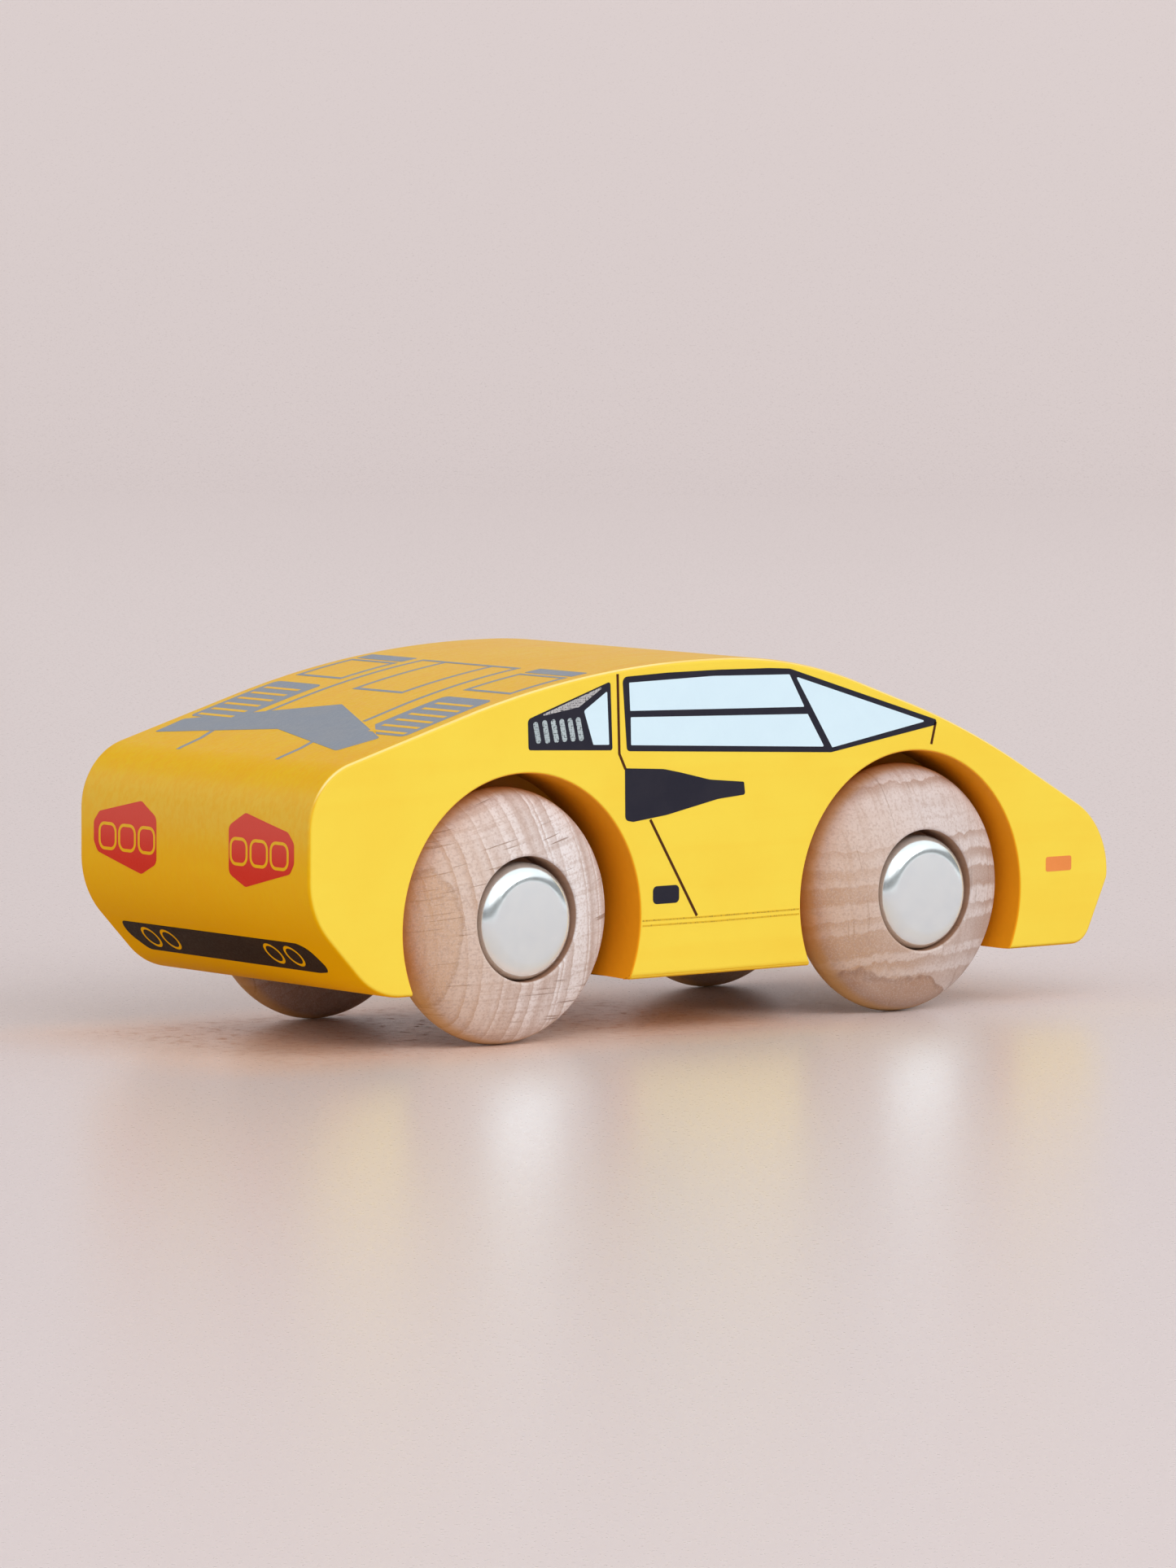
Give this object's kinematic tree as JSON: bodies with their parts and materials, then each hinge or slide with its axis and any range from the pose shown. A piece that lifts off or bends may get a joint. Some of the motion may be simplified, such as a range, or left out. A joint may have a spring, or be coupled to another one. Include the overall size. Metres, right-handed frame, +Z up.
{
  "type": "toy car",
  "caption": "Palm-sized wooden push-along sports car: a painted wedge block with printed windows and lamps on free-rolling turned wheels with steel axles and hub caps.",
  "frame": {"origin": "on the floor, below the middle of the body's length and width", "axes": "+X forward to the nose, +Y to the car's left, +Z up"},
  "size_m": [0.1234, 0.0478, 0.0444],
  "materials": {
    "painted_wood": "satin yellow paint on wood, with printed windows, vents, lamps and bumper",
    "wheel_wood": "bare turned beech, fine sanded",
    "axle_steel": "drawn steel rod",
    "cap_steel": "bright plated pressed steel, satin face",
    "spring_steel": "spring steel"
  },
  "bodies": {
    "body": {"body": "painted_wood"},
    "front_axle_set": {"front_axle": "axle_steel", "hub_cap_front_left": "cap_steel", "hub_cap_front_right": "cap_steel", "lock_washer_front_left": "spring_steel", "lock_washer_front_right": "spring_steel"},
    "rear_axle_set": {"rear_axle": "axle_steel", "hub_cap_rear_left": "cap_steel", "hub_cap_rear_right": "cap_steel", "lock_washer_rear_left": "spring_steel", "lock_washer_rear_right": "spring_steel"},
    "wheel_front_left": {"wheel_front_left": "wheel_wood"},
    "wheel_front_right": {"wheel_front_right": "wheel_wood"},
    "wheel_rear_left": {"wheel_rear_left": "wheel_wood"},
    "wheel_rear_right": {"wheel_rear_right": "wheel_wood"}
  },
  "joints": [
    {"name": "front_axle_spin", "type": "hinge", "parent": "body", "child": "front_axle_set", "pos_m": [0.031, 0, 0.0148], "axis": [0, 1, 0], "continuous": true},
    {"name": "rear_axle_spin", "type": "hinge", "parent": "body", "child": "rear_axle_set", "pos_m": [-0.0305, 0, 0.0148], "axis": [0, 1, 0], "continuous": true},
    {"name": "wheel_front_left_spin", "type": "hinge", "parent": "body", "child": "wheel_front_left", "pos_m": [0.031, 0.018, 0.0151], "axis": [0, 1, 0], "continuous": true},
    {"name": "wheel_front_right_spin", "type": "hinge", "parent": "body", "child": "wheel_front_right", "pos_m": [0.031, -0.018, 0.0151], "axis": [0, 1, 0], "continuous": true},
    {"name": "wheel_rear_left_spin", "type": "hinge", "parent": "body", "child": "wheel_rear_left", "pos_m": [-0.0305, 0.018, 0.0151], "axis": [0, 1, 0], "continuous": true},
    {"name": "wheel_rear_right_spin", "type": "hinge", "parent": "body", "child": "wheel_rear_right", "pos_m": [-0.0305, -0.018, 0.0151], "axis": [0, 1, 0], "continuous": true}
  ]
}
